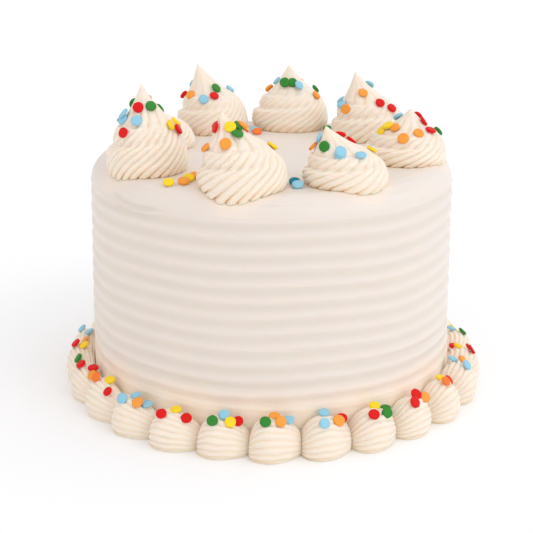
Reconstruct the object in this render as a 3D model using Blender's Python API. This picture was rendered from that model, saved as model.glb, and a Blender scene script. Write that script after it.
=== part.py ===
"""An iced celebration cake.

A round cake with combed sides carries eight piped rosettes on its top and a border of piped shells
round its foot. Flat round sprinkles lie on the rosettes, on the shells and on the top.
Metres, +Z up. The origin is on the floor, on the cake's axis, and the front looks along -Y.
A bearing is an angle round the axis: 0 at the front, growing towards +X.
"""

import math
import random
from collections import namedtuple

import bmesh
import bpy
from mathutils import Matrix, Vector

MM = 0.001

# The cake's body, iced all over.
FOOT_RADIUS = 79.1 * MM
TOP_RADIUS = 77.4 * MM
CAKE_HEIGHT = 101.0 * MM
SHOULDER = 8.5 * MM
UNEVEN = 0.25 * MM
UNEVEN_RISE = 14.0 * MM

# The ridges that a comb left round its side, from the border up.
COMB_PITCH = 6.44 * MM
COMB_LOWEST = 16.0 * MM
COMB_CRESTS = 13
COMB_DEPTH = 0.7 * MM
COMB_SWAY = 0.35 * MM

# Pieces that touch keep this gap.
GAP = 0.3 * MM

# A rosette's own form, as shares of its height and of half its width.
DOME_HEIGHT = 0.67
DOME_ROUND_OUT = 0.75
DOME_ROUND_UP = 0.80
PEAK_SPREAD = 0.58
PEAK_POWER = 1.5
SWELL_ONCE = 0.025
SWELL_THRICE = 0.02
FOOT_TUCK = 0.10
TUCK_RISE = 0.10
TWIST = 1.95
TWIST_EASE = 3.2
RIDGE_DEPTH = 1.2 * MM
RIDGE_FADE = 0.6
CREASE_RISE = 0.28
CREASE_CLIMB = 0.28
CREASE_WIDTH = 0.04
CREASE_DEPTH = 1.4 * MM
COIL_STEP = 0.11
COIL_SHARES = (1.0, 0.6)
UNDERSIDE_HOLLOW = 3.0 * MM
MOST_DROP = 1.3 * MM

# The shells of the border.
SHELL_COUNT = 26
SHELL_FIRST = math.radians(1.7)
SHELL_INNER = 80.1 * MM
SHELL_CENTRE_OUT = 5.8 * MM
SHELL_CENTRE_UP = 5.6 * MM
SHELL_HALF_WIDTH = 7.6 * MM
SHELL_HALF_HEIGHT = 9.6 * MM
SHELL_FATTEST = -0.30
SHELL_START_POWER = 1.9
SHELL_RISE_POWER = 2.0
SHELL_TAIL_POWER = 1.6
SHELL_LEAST = 0.42
SHELL_THINNER_LEFT = 0.1
SHELL_CLOSE = 8
SHELL_RIDGE_DEPTH = 0.8 * MM
SHELL_LENGTHS = (0.96, 0.98)
SHELL_WIDTHS = (0.95, 1.06)
SHELL_HEIGHTS = (0.94, 1.07)
SHELL_FRONT_COUNTS = (3, 3, 3, 4)
SHELL_BACK_COUNTS = (1, 1, 2)
SHELL_SEED = 11

# Flat round sprinkles.
SPRINKLE_RADIUS = 2.3 * MM
SPRINKLE_THICKNESS = 1.3 * MM
SPRINKLE_SUNK = 0.55 * MM
SPRINKLE_SIDES = 6
ROSETTE_SEATS = (0.44, 0.92)
ROSETTE_LEAN = 0.25
GOLDEN_TURN = 0.382
TURN_DRAW = 0.06
SLOPE_STEP = 0.05
SHELL_SEATS_AROUND = ((58.0, 82.0), (88.0, 110.0))
SHELL_SEATS_ALONG = 0.58
SHELL_SEAT_DRAW = (0.2, 0.8)
SHELL_FACE_OUT = math.radians(28.0)
SHELL_LEAN = 0.2
FRONT_SHARE = -0.2

# How finely each form is divided here.
CAKE_SIDES = 40
SHOULDER_ROWS = 3
ROSETTE_RIDGES = 18
ROSETTE_RISES = (0.0, 0.10, 0.24, 0.33, 0.58, 0.82)
SHELL_RIDGES = 7
SHELL_STATIONS = (-0.92, -0.34, 0.36, 0.92)
SHELL_END = 0.985

ICING = ("icing", (0.93, 0.87, 0.76, 1.0), 0.45)

# One rosette: where its centre stands, its full width and height, how far its peak leans over, the
# bearing where its coils lie deepest apart, its sprinkles and the seed of their draw.
Rosette = namedtuple("Rosette", "bearing distance width height lean_x lean_y crease sprinkles seed")
ROSETTES = (
    Rosette(-59, 59.0, 32.5, 35.1, -1.2, 0.0, -60, 11, 1),
    Rosette(-11, 59.0, 34.5, 29.2, -8.0, 1.0, -40, 9, 2),
    Rosette(30, 58.5, 33.0, 22.4, -8.5, 0.0, -35, 8, 9),
    Rosette(78.5, 57.3, 35.0, 21.5, 2.0, 1.0, -60, 8, 4),
    Rosette(127, 55.0, 33.0, 30.0, -6.0, 0.0, -60, 5, 5),
    Rosette(171, 58.0, 36.0, 29.4, -0.5, 0.0, -85, 6, 6),
    Rosette(-151, 57.0, 33.0, 31.0, -6.3, 0.0, -85, 6, 7),
    Rosette(-106, 52.0, 32.0, 20.0, -5.0, 0.0, -60, 4, 8),
)

# Sprinkles on the cake's top, in the space after each rosette.
TOP_SPRINKLES = (4, 2, 1, 1, 1, 2, 1, 1)
TOP_CLEAR = 0.9 * MM
TOP_SPACING = 5.0 * MM
TOP_LEAN = 0.12
TOP_SEED = 5


def direction(bearing):
    """The level unit vector at a bearing."""
    return Vector((math.sin(bearing), -math.cos(bearing), 0.0))


def loft(name, rings, bottom, top):
    """A closed solid: rings of points joined in turn, each end closed by a fan to its middle point."""
    bm = bmesh.new()
    loops = [[bm.verts.new(point) for point in ring] for ring in rings]
    count = len(rings[0])
    for lower, upper in zip(loops, loops[1:]):
        for i in range(count):
            j = (i + 1) % count
            bm.faces.new((lower[i], lower[j], upper[j], upper[i]))
    ends = ((loops[0], bottom, True), (loops[-1], top, False))
    for loop, middle, turned in ends:
        centre = bm.verts.new(middle)
        for i in range(count):
            j = (i + 1) % count
            corners = (loop[j], loop[i], centre) if turned else (loop[i], loop[j], centre)
            bm.faces.new(corners)
    bmesh.ops.triangulate(bm, faces=bm.faces)
    mesh = bpy.data.meshes.new(name)
    bm.to_mesh(mesh)
    bm.free()
    solid = bpy.data.objects.new(name, mesh)
    bpy.context.scene.collection.objects.link(solid)
    return solid


def material(name, colour, roughness):
    """A plain finish for one piece."""
    made = bpy.data.materials.new(name)
    made.use_nodes = True
    surface = made.node_tree.nodes["Principled BSDF"]
    surface.inputs["Base Color"].default_value = colour
    surface.inputs["Roughness"].default_value = roughness
    surface.inputs["Metallic"].default_value = 0.0
    return made


def finish(solid):
    """Gives a piece its icing and its shading."""
    solid.data.materials.append(material(solid.name + "_" + ICING[0], ICING[1], ICING[2]))
    solid.data.shade_smooth()
    solid.data.set_sharp_from_angle(angle=math.radians(40))


def side_radius(height, bearing):
    """The cake's radius without its ridges: a slight taper, and the hand's unevenness."""
    taper = FOOT_RADIUS + (TOP_RADIUS - FOOT_RADIUS) * height / CAKE_HEIGHT
    swell = math.sin(2.0 * bearing + 0.7) + 0.6 * math.sin(5.0 * bearing + height / UNEVEN_RISE)
    return taper + UNEVEN * swell


def comb_sway(bearing):
    """How far the ridges ride up or down on their way round."""
    return COMB_SWAY * (math.sin(3.0 * bearing + 1.0) + math.sin(7.0 * bearing))


def top_height(place):
    """The height of the cake's top at a place, round over the shoulder."""
    edge = side_radius(CAKE_HEIGHT, math.atan2(place.x, -place.y))
    over = max(0.0, place.to_2d().length - (edge - SHOULDER))
    return CAKE_HEIGHT - SHOULDER + math.sqrt(max(0.0, SHOULDER**2 - over**2))


def cake_body():
    """The cake: a row at each crest and each groove of the comb, then the shoulder and the top."""
    bearings = [2.0 * math.pi * i / CAKE_SIDES for i in range(CAKE_SIDES)]
    foot = [direction(b) * side_radius(0.0, b) for b in bearings]
    rings = [foot]
    for row in range(2 * COMB_CRESTS - 2):
        depth = 0.5 * COMB_DEPTH if row % 2 == 0 else -0.5 * COMB_DEPTH
        ring = []
        for b in bearings:
            height = COMB_LOWEST + 0.5 * row * COMB_PITCH + comb_sway(b)
            ring.append(direction(b) * (side_radius(height, b) + depth) + Vector((0, 0, height)))
        rings.append(ring)
    for row in range(SHOULDER_ROWS + 1):
        lean = 0.5 * math.pi * row / SHOULDER_ROWS
        height = CAKE_HEIGHT - SHOULDER * (1.0 - math.sin(lean))
        ring = []
        for b in bearings:
            radius = side_radius(CAKE_HEIGHT, b) - SHOULDER * (1.0 - math.cos(lean))
            ring.append(direction(b) * radius + Vector((0, 0, height)))
        rings.append(ring)
    return loft("cake", rings, Vector((0, 0, 0)), Vector((0, 0, CAKE_HEIGHT)))


def rosette_centre(rosette):
    """Where a rosette stands, on the level of the cake's top."""
    return direction(math.radians(rosette.bearing)) * rosette.distance * MM


def rosette_twist(rise):
    """How far round a ridge has travelled, in radians, on its way up from the foot."""
    return TWIST * (1.0 - (1.0 - rise) ** TWIST_EASE)


def coil_creases(facing, rise):
    """The depth of the crease between one coil and the next, and how far the upper one stands in.

    facing is the angle from the bearing where they are deepest; round the back they fade out.
    """
    facing = (facing + math.pi) % (2.0 * math.pi) - math.pi
    depth = 0.5 + 0.5 * math.cos(facing)
    groove = 0.0
    step = 0.0
    for coil, share in enumerate(COIL_SHARES):
        level = CREASE_RISE + CREASE_CLIMB * (coil + facing / (2.0 * math.pi))
        past = (rise - level) / CREASE_WIDTH
        groove += share * depth * CREASE_DEPTH * math.exp(-(past**2))
        step += share * depth * COIL_STEP / (1.0 + math.exp(-2.0 * past))
    return groove, step


def rosette_point(rosette, turn, rise, wave):
    """A point of a rosette's skin.

    turn goes round its own axis, rise from 0 at the foot to 1 at the tip of the peak, and wave from
    -1 in a valley between two ridges to 1 on a ridge.
    """
    lift = 0.5 * math.pi * rise
    out = max(0.0, math.cos(lift)) ** DOME_ROUND_OUT
    peak = (1.0 - DOME_HEIGHT) * max(0.0, 1.0 - out / PEAK_SPREAD) ** PEAK_POWER
    up = DOME_HEIGHT * math.sin(lift) ** DOME_ROUND_UP + peak
    groove, step = coil_creases(turn - math.radians(rosette.crease), rise)
    relief = 0.5 * RIDGE_DEPTH * wave * out**RIDGE_FADE - groove
    tuck = max(0.0, 1.0 - rise / TUCK_RISE) ** 2
    swell = 1.0 + SWELL_ONCE * math.sin(turn + rosette.seed)
    swell += SWELL_THRICE * math.sin(3.0 * turn + 2.0 * rosette.seed)
    body = 0.5 * rosette.width * MM * out * (1.0 - step) * (1.0 - FOOT_TUCK * tuck) * swell
    place = rosette_centre(rosette) + direction(turn) * max(0.0, body + relief * math.cos(lift))
    place += Vector((rosette.lean_x, rosette.lean_y, 0.0)) * (1.0 - out) * MM
    drop = min(MOST_DROP, CAKE_HEIGHT - top_height(place))
    place.z = CAKE_HEIGHT + GAP - drop * tuck
    place.z += max(0.0, rosette.height * MM * up + relief * math.sin(lift))
    return place


def rosette_solid(name, rosette):
    """A piped rosette: its ridges wind up from a toothed foot and close in a peak."""
    count = 2 * ROSETTE_RIDGES
    rings = []
    for rise in ROSETTE_RISES:
        ring = []
        for i in range(count):
            turn = 2.0 * math.pi * i / count + rosette_twist(rise)
            ring.append(rosette_point(rosette, turn, rise, 1.0 if i % 2 == 0 else -1.0))
        rings.append(ring)
    underside = rosette_centre(rosette) + Vector((0, 0, CAKE_HEIGHT + GAP + UNDERSIDE_HOLLOW))
    return loft(name, rings, underside, rosette_point(rosette, 0.0, 1.0, 0.0))


def shell_sizes():
    """Each shell's own length, width and height, as shares of the usual ones."""
    draw = random.Random(SHELL_SEED)
    return [(draw.uniform(*SHELL_LENGTHS), draw.uniform(*SHELL_WIDTHS), draw.uniform(*SHELL_HEIGHTS))
            for _ in range(SHELL_COUNT)]


def shell_bearing(number):
    """The bearing of a shell's middle."""
    return SHELL_FIRST + 2.0 * math.pi * number / SHELL_COUNT


def shell_shares(along):
    """How wide and how tall a shell is along its length, as shares of its fattest part.

    It rises from the floor where it was begun, and it tapers to its tail.
    """
    start = along < SHELL_FATTEST
    power = SHELL_START_POWER if start else SHELL_TAIL_POWER
    past = (along - SHELL_FATTEST) / (-1.0 - SHELL_FATTEST if start else 1.0 - SHELL_FATTEST)
    bead = max(0.0, 1.0 - past**power) ** (1.0 / power)
    wide = SHELL_LEAST * math.sqrt(1.0 - along**SHELL_CLOSE) + (1.0 - SHELL_LEAST) * bead
    tall = max(0.0, 1.0 - past**SHELL_RISE_POWER) ** (1.0 / SHELL_RISE_POWER) if start else wide
    return wide, tall


def shell_point(number, sizes, along, around, wave, skin=1.0):
    """A point of a shell.

    along runs from -1 at its fat start to 1 at its tail, around goes round its middle line from the
    outside over the top, wave runs from -1 in a valley to 1 on a ridge, and skin from 0 on the
    middle line to 1 on the surface.
    """
    length, width, height = sizes
    wide, tall = shell_shares(along)
    relief = 0.5 * SHELL_RIDGE_DEPTH * wave
    out = SHELL_CENTRE_OUT + skin * (SHELL_HALF_WIDTH + relief) * math.cos(around)
    up = SHELL_CENTRE_UP + skin * (SHELL_HALF_HEIGHT + relief) * math.sin(around)
    bearing = shell_bearing(number) + along * length * math.pi / SHELL_COUNT
    width *= 1.0 + SHELL_THINNER_LEFT * min(0.0, math.sin(bearing))
    radius = SHELL_INNER + max(0.0, out * wide * width)
    return direction(bearing) * radius + Vector((0, 0, max(0.0, up * tall * height)))


def shell_solid(name, number, sizes):
    """A piped shell: a ridged bead, fat where it was begun and tapering to its tail."""
    count = 2 * SHELL_RIDGES
    rings = []
    for along in SHELL_STATIONS:
        ring = []
        for i in range(count):
            around = -2.0 * math.pi * i / count
            ring.append(shell_point(number, sizes, along, around, 1.0 if i % 2 == 0 else -1.0))
        rings.append(ring)
    start = shell_point(number, sizes, -SHELL_END, 0.0, 0.0, 0.0)
    tail = shell_point(number, sizes, SHELL_END, 0.0, 0.0, 0.0)
    return loft(name, rings, start, tail)


def lean_over(normal, draw, most):
    """The way a sprinkle faces: its seat's normal, tipped a little."""
    tipped = Vector([draw.uniform(-most, most) for _ in range(3)])
    return (normal + tipped).normalized()


def sprinkle(name, place, facing, heap):
    """A flat round sprinkle, in the collection of those on one piece."""
    bm = bmesh.new()
    turned = facing.to_track_quat("Z", "Y").to_matrix().to_4x4()
    bmesh.ops.create_cone(
        bm,
        cap_ends=True,
        segments=SPRINKLE_SIDES,
        radius1=SPRINKLE_RADIUS,
        radius2=SPRINKLE_RADIUS,
        depth=SPRINKLE_THICKNESS,
        matrix=Matrix.Translation(place) @ turned,
    )
    mesh = bpy.data.meshes.new(name)
    bm.to_mesh(mesh)
    bm.free()
    heap.objects.link(bpy.data.objects.new(name, mesh))


def strew(solid, seats):
    """Joins sprinkles to the piece that they lie on. seats holds the place and facing of each."""
    heap = bpy.data.collections.new(solid.name + "_sprinkles")
    bpy.context.scene.collection.children.link(heap)
    bpy.context.view_layer.update()
    for i, (target, facing) in enumerate(seats):
        _, nearest, _, _ = solid.closest_point_on_mesh(target)
        place = nearest + facing * (0.5 * SPRINKLE_THICKNESS - SPRINKLE_SUNK)
        sprinkle("%s_sprinkle_%d" % (solid.name, i), place, facing, heap)
    union = solid.modifiers.new("sprinkles", "BOOLEAN")
    union.operation = "UNION"
    union.operand_type = "COLLECTION"
    union.collection = heap
    union.solver = "EXACT"
    bpy.context.view_layer.update()
    joined = bpy.data.meshes.new_from_object(solid.evaluated_get(bpy.context.evaluated_depsgraph_get()))
    solid.modifiers.remove(union)
    solid.data = joined
    for loose in list(heap.objects):
        bpy.data.objects.remove(loose)
    bpy.data.collections.remove(heap)


def rosette_facing(rosette, turn, rise):
    """The way a rosette's skin faces, without its ridges."""
    above = rosette_point(rosette, turn, rise + SLOPE_STEP, 0.0)
    below = rosette_point(rosette, turn, rise - SLOPE_STEP, 0.0)
    return direction(turn + 0.5 * math.pi).cross(above - below).normalized()


def rosette_seats(rosette):
    """Where sprinkles lie on a rosette: anywhere round it, above its lower coil."""
    draw = random.Random(rosette.seed)
    seats = []
    for i in range(rosette.sprinkles):
        turn = 2.0 * math.pi * (i * GOLDEN_TURN + draw.uniform(-TURN_DRAW, TURN_DRAW))
        rise = draw.uniform(*ROSETTE_SEATS)
        facing = lean_over(rosette_facing(rosette, turn, rise), draw, ROSETTE_LEAN)
        seats.append((rosette_point(rosette, turn, rise, 1.0), facing))
    return seats


def shell_seats(number, sizes, draw):
    """Where sprinkles lie on a shell: over its top, clear of the cake, dipping at their outer edge."""
    seats = []
    at_front = math.cos(shell_bearing(number)) > FRONT_SHARE
    count = draw.choice(SHELL_FRONT_COUNTS if at_front else SHELL_BACK_COUNTS)
    for i in range(count):
        along = SHELL_SEATS_ALONG * (2.0 * (i + draw.uniform(*SHELL_SEAT_DRAW)) / count - 1.0)
        around = math.radians(draw.uniform(*SHELL_SEATS_AROUND[i % 2]))
        up = around - SHELL_FACE_OUT
        normal = direction(shell_bearing(number)) * math.cos(up) + Vector((0, 0, math.sin(up)))
        facing = lean_over(normal, draw, SHELL_LEAN)
        seats.append((shell_point(number, sizes, along, around, 1.0), facing))
    return seats


def top_seats():
    """Where sprinkles lie on the cake's top: between one rosette and the next, towards the front."""
    draw = random.Random(TOP_SEED)
    seats = []
    for i, count in enumerate(TOP_SPRINKLES):
        here = ROSETTES[i]
        after = ROSETTES[(i + 1) % len(ROSETTES)]
        across = rosette_centre(after) - rosette_centre(here)
        middle = (rosette_centre(after) + rosette_centre(here)) * 0.5
        kept = 0.5 * max(here.width, after.width) * MM + SPRINKLE_RADIUS + TOP_CLEAR
        free = max(0.0, 0.5 * across.length - kept)
        start = math.sqrt(max(0.0, kept**2 - 0.25 * across.length_squared))
        away = Vector((across.y, -across.x, 0.0)).normalized()
        if away.y > 0.0:
            away.negate()
        for j in range(count):
            aside = across.normalized() * free * draw.uniform(-1.0, 1.0)
            place = middle + aside + away * (start + TOP_SPACING * j)
            place.z = CAKE_HEIGHT
            seats.append((place, lean_over(Vector((0, 0, 1)), draw, TOP_LEAN)))
    return seats


def main():
    """Makes the cake, its rosettes and its border."""
    for old in list(bpy.data.objects):
        bpy.data.objects.remove(old)
    cake = cake_body()
    strew(cake, top_seats())
    finish(cake)
    for i, rosette in enumerate(ROSETTES):
        solid = rosette_solid("rosette_%d" % (i + 1), rosette)
        strew(solid, rosette_seats(rosette))
        finish(solid)
    draw = random.Random(SHELL_SEED + 1)
    for i, sizes in enumerate(shell_sizes()):
        solid = shell_solid("shell_%02d" % (i + 1), i, sizes)
        strew(solid, shell_seats(i, sizes, draw))
        finish(solid)


main()
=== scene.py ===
"""The looks of an iced celebration cake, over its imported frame.

Each icing piece is modelled again with its fine ridges and replaces its plain solid: the cake with
its combed side, eight piped rosettes and a border of piped shells. Flat round sprinkles are strewn
over them by the same seeded rule as on the solids. Metres, +Z up; the front looks along -Y.
A bearing is an angle round the cake's axis: 0 at the front, growing towards +X.
"""

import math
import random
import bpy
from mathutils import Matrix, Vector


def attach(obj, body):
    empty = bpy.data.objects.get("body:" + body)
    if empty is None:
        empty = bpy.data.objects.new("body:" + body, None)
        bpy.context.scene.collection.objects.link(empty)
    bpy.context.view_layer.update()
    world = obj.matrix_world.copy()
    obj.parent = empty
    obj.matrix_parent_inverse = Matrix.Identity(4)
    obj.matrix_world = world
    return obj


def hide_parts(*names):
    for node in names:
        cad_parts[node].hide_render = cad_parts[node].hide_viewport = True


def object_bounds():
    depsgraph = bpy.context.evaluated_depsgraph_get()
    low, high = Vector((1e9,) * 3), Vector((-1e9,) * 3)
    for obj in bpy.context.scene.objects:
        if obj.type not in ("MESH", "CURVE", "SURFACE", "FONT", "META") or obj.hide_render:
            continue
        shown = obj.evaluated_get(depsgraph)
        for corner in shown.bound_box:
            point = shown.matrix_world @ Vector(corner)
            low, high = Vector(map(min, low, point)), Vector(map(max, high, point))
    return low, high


bl_info = {
    "name": "Iced celebration cake",
    "version": (1, 0, 0),
    "blender": (4, 5, 0),
    "location": "View3D > Sidebar > Cake",
    "description": "Makes the icing, the sprinkles and the studio of a combed and piped cake",
    "category": "Object",
}

from collections import namedtuple

import bpy
import numpy as np
from bpy.props import FloatProperty, FloatVectorProperty, IntProperty, PointerProperty
from mathutils import Vector

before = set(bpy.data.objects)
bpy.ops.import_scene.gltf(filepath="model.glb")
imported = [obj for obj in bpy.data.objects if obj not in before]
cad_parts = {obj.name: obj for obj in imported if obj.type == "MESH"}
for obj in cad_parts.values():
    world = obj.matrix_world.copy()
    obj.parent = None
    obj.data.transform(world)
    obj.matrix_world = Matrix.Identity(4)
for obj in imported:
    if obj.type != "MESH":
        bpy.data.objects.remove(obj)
CAD_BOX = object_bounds()

MM = 0.001
TURN = 2.0 * math.pi

# A slow unevenness: how many waves it sums, how often each goes round, how it climbs and its phase.
RIPPLE_WAVES = 5
RIPPLE_TURNS = (1, 7)
RIPPLE_CLIMBS = (2.0, 11.0)
PHASES = (0.0, 6.3)

# The cake's body.
FOOT_RADIUS = 79.1 * MM
TOP_RADIUS = 77.4 * MM
CAKE_HEIGHT = 101.0 * MM
SHOULDER = 8.5 * MM
UNEVEN = 0.25 * MM
UNEVEN_RISE = 14.0 * MM
UNEVEN_PHASE = 0.7
UNEVEN_SECOND = 0.6
SIDE_ROWS = 190
SHOULDER_ROWS = 22
TOP_ROWS = 46
BODY_SEED = 21

# The comb's ridges: the first and last crest, how far they ride up and down, how much their spacing
# and depth wander, and how they run out under the shoulder.
COMB_PITCH = 6.44 * MM
COMB_LOWEST = 16.0 * MM
COMB_HIGHEST = 93.3 * MM
COMB_SWAY = 0.35 * MM
COMB_DRIFT = 0.035
COMB_SPREAD = 0.22
COMB_FADE = 3.0 * MM
COMB_FADE_PAST = 2.0 * MM

# The marks of a hand's tool on the side, the shoulder and the top.
DRAG_LONG = 0.05 * MM
DRAG_FINE = 0.04 * MM
SHOULDER_MARKS = 0.13 * MM
TOP_MARKS = 0.14 * MM

# The painted warm light of the border on the body: how high it reaches, over what stretch, and how it
# fades.
GLOW_TOP = 28.0 * MM
GLOW_REACH = 12.0 * MM
GLOW_POWER = 1.5

# The painted warm light on the cake's top at a rosette's foot: at this share of the rosette's width,
# this far to each side and this strong.
FOOT_SHARE = 0.47
FOOT_GLOW = 2.4 * MM
FOOT_SHINE = 0.6

# The spatula's mark on the left shoulder: a lip that dips in a curve, with a hollow over it, whose
# depth is a share of the lip's and whose place and width are counted in the lip's width.
SWIPE_BEARING = math.radians(-42.0)
SWIPE_BEFORE = math.radians(14.0)
SWIPE_AFTER = math.radians(9.0)
SWIPE_FADE = math.radians(4.0)
SWIPE_LOWEST = 91.0 * MM
SWIPE_CURVE = 54.0 * MM
SWIPE_LIP = 1.0 * MM
SWIPE_WIDTH = 0.6 * MM
SWIPE_HOLLOW = 0.6
SWIPE_HOLLOW_UP = 2.6
SWIPE_HOLLOW_WIDTH = 2.0
# How much painted shade lies in the hollow.
SWIPE_SHADE = 1.3

# A rosette's own form, as shares of its height and of half its width.
DOME_HEIGHT = 0.67
DOME_ROUND_OUT = 0.75
DOME_ROUND_UP = 0.80
PEAK_SPREAD = 0.58
PEAK_POWER = 1.5
SWELL_ONCE = 0.025
SWELL_THRICE = 0.02
FOOT_TUCK = 0.10
TUCK_RISE = 0.10
TWIST = 1.8
TWIST_EASE = 2.1
CREASE_RISE = 0.28
CREASE_CLIMB = 0.28
CREASE_WIDTH = 0.04
CREASE_DEPTH = 1.4 * MM
COIL_STEP = 0.11
COIL_SHARES = (1.0, 0.6)
MOST_DROP = 3.2 * MM
DROP_RISE = 0.25

# How far the middle of its underside stands over the cake's top.
UNDERSIDE = 1.0 * MM

# Its ridges: they fade towards the peak, merge in pairs on the way, and are narrower and deeper at
# the foot. The two seeds are the first rosette's, and each later one adds one.
ROSETTE_ROWS = 84
ROSETTE_RIDGE_STEPS = 10
RIDGE_FADE = 0.6
PEAK_SMOOTH = 0.06
PEAK_SMOOTHER = 0.35
PEAK_REACH = 0.4
CRISPEST = 0.85
FOOT_RISE = 0.12
FOOT_NARROW = 1.6
FOOT_DEEPER = 0.5
MERGE_FROM = 0.42
MERGE_RISE = 0.22
LOW_DEPTH = 0.85
HIGH_DEPTH = 1.25
RIDGE_SPREAD = 0.18
ROSETTE_WANDER_SEED = 30
ROSETTE_DEPTH_SEED = 50

# What the ridges of all piped icing share: how narrow their valleys are, how they wander, where the
# painted warm shade of the valleys lies, and how much painted contact shadow their foot gets.
RIDGE_NARROW = 1.5
RIDGE_WANDER = 0.02
VALLEY_POWER = 1.5
FOOT_SHADOW = 0.5

# The shells of the border: their place and cross-section, then their outline along their length,
# then how they meet, the deeper teeth where each was begun, and each one's own size.
SHELL_COUNT = 26
SHELL_FIRST = math.radians(1.7)
SHELL_INNER = 79.3 * MM
SHELL_CENTRE_OUT = 6.45 * MM
SHELL_CENTRE_UP = 5.6 * MM
SHELL_HALF_WIDTH = 7.6 * MM
SHELL_HALF_HEIGHT = 9.6 * MM
SHELL_FATTEST = -0.30
SHELL_START_POWER = 1.9
SHELL_RISE_POWER = 2.0
SHELL_TAIL_POWER = 1.6
SHELL_LEAST = 0.42
SHELL_TAIL_WIDE = 0.16
SHELL_TAIL_TALL = 0.30
SHELL_THINNER_LEFT = 0.1
SHELL_CLOSE = 8
SHELL_MEET_START = 1.22
SHELL_MEET_TAIL = 1.09
TOOTH_DEPTH = 2.2
TOOTH_REACH = 0.22
NOTCH_TOP = 2.5 * MM
SHELL_ROWS = 34
SHELL_RIDGES = 20
SHELL_RIDGE_STEPS = 7
SHELL_WANDER_SEED = 70
SHELL_LENGTHS = (0.96, 0.98)
SHELL_WIDTHS = (0.95, 1.06)
SHELL_HEIGHTS = (0.94, 1.07)
SHELL_SEED = 11

# A sprinkle's own form: its rim from the middle of the edge to the face, as shares of its radius and
# of half its thickness; how its width, thickness and roundness vary; the waves of its uneven edge,
# with their shares of its radius; its largest width; and the angle from which an edge is sharp.
SPRINKLE_RIM = [(1.0, 0.0), (0.97, 0.62), (0.86, 0.94), (0.55, 1.0)]
SPRINKLE_STEPS = 28
SPRINKLE_WIDTHS = (0.94, 1.04)
SPRINKLE_THICKNESSES = (0.9, 1.05)
SPRINKLE_SQUEEZES = (0.95, 1.0)
SPRINKLE_WAVES = ((3.0, 0.012), (7.0, 0.008))
SPRINKLE_LARGEST = 1.06
SPRINKLE_EDGE = math.radians(50.0)

# How a sprinkle lies: pressed in a little, lifted where it leans, and on top of one that it crowds.
SPRINKLE_SUNK = 0.12 * MM
CROWDED = 3.6 * MM
STACK_STEP = 0.9 * MM
EDGE_LIFT = 0.4

# Where sprinkles lie on rosettes, on shells and on the cake's top.
ROSETTE_SEATS = (0.44, 0.92)
ROSETTE_LEAN = 0.25
GOLDEN_TURN = 0.382
TURN_DRAW = 0.06
SLOPE_STEP = 0.05
SHELL_FRONT_COUNTS = (3, 3, 3, 4)
SHELL_BACK_COUNTS = (1, 1, 2)
SHELL_SEATS_AROUND = ((58.0, 82.0), (88.0, 110.0))
SHELL_SEATS_ALONG = 0.58
SHELL_SEAT_DRAW = (0.2, 0.8)
SHELL_FACE_OUT = math.radians(28.0)
SHELL_LEAN = 0.2
FRONT_SHARE = -0.2
TOP_SPRINKLES = (4, 2, 1, 1, 1, 2, 1, 1)
TOP_CLEAR = 0.9 * MM
TOP_SPACING = 5.0 * MM
TOP_LEAN = 0.12
TOP_TIP = 0.45
TOP_LIFT = 0.5 * MM
TOP_SEED = 5

# One rosette: where its centre stands, its full width and height, how far its peak leans over, the
# bearing where its coils lie deepest apart, its sprinkles on the solid and the extra ones here, the
# seed of their draw, how many ridges it has, how crisp they are and its sprinkles' colours.
Rosette = namedtuple(
    "Rosette",
    "bearing distance width height lean_x lean_y crease sprinkles extra seed ridges crisp colours",
)
ROSETTES = (
    Rosette(-59, 59.0, 32.5, 35.1, -1.2, 0.0, -60, 11, 5, 1, 24, 1.0, "rgbygryggrb"),
    Rosette(-11, 59.0, 34.5, 29.2, -8.0, 1.0, -40, 9, 4, 2, 22, 1.05, "yrogroyrg"),
    Rosette(30, 58.5, 33.0, 22.4, -8.5, 0.0, -35, 8, 2, 9, 18, 0.85, "brobrgyb"),
    Rosette(78.5, 57.3, 35.0, 21.5, 2.0, 1.0, -60, 8, 4, 4, 18, 0.9, "oryrbogb"),
    Rosette(127, 55.0, 33.0, 30.0, -6.0, 0.0, -60, 5, 4, 5, 20, 0.75, "obbry"),
    Rosette(171, 58.0, 36.0, 29.4, -0.5, 0.0, -85, 6, 4, 6, 24, 0.5, "gobogg"),
    Rosette(-151, 57.0, 33.0, 31.0, -6.3, 0.0, -85, 6, 3, 7, 24, 0.5, "bbrgyo"),
    Rosette(-106, 52.0, 32.0, 20.0, -5.0, 0.0, -60, 4, 2, 8, 22, 1.0, "yrgo"),
)
TOP_COLOURS = "oyoytbyrgbdrbyor"
SHELL_COLOURS = "grobyorgbroydorbgyrobgrydob"

# Each letter's sprinkles.
SPRINKLE_COLOURS = {
    "r": "red",
    "o": "orange",
    "y": "yellow",
    "g": "green",
    "b": "light_blue",
    "t": "teal",
    "d": "deep_orange",
}

# The icing's finish on each kind of piece: the share of the painted shade in its valleys and grooves,
# its mottling, its drag marks, its air holes and how high that relief is.
IcingSurface = namedtuple("IcingSurface", "crease_share mottle drag holes height")
COMBED_SURFACE = IcingSurface(0.62, 0.05, 0.35, 0.5, 0.22 * MM)
ROSETTE_SURFACE = IcingSurface(0.6, 0.05, 0.25, 0.2, 0.12 * MM)
SHELL_SURFACE = IcingSurface(0.55, 0.05, 0.25, 0.2, 0.12 * MM)

# How fine the icing's mottling, drag marks, grain and air holes are, counted over a metre, how much
# finer the drag marks are upwards, and how wide and deep the holes are beside the grain.
MOTTLE_SCALE = 38.0
DRAG_SCALE = 230.0
DRAG_STRETCH = (1.0, 1.0, 5.0)
GRAIN_SCALE = 1900.0
GRAIN_SHARE = 0.08
HOLE_SCALE = 130.0
HOLE_WIDTH = 0.085
HOLE_DEPTH = 12.0

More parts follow.
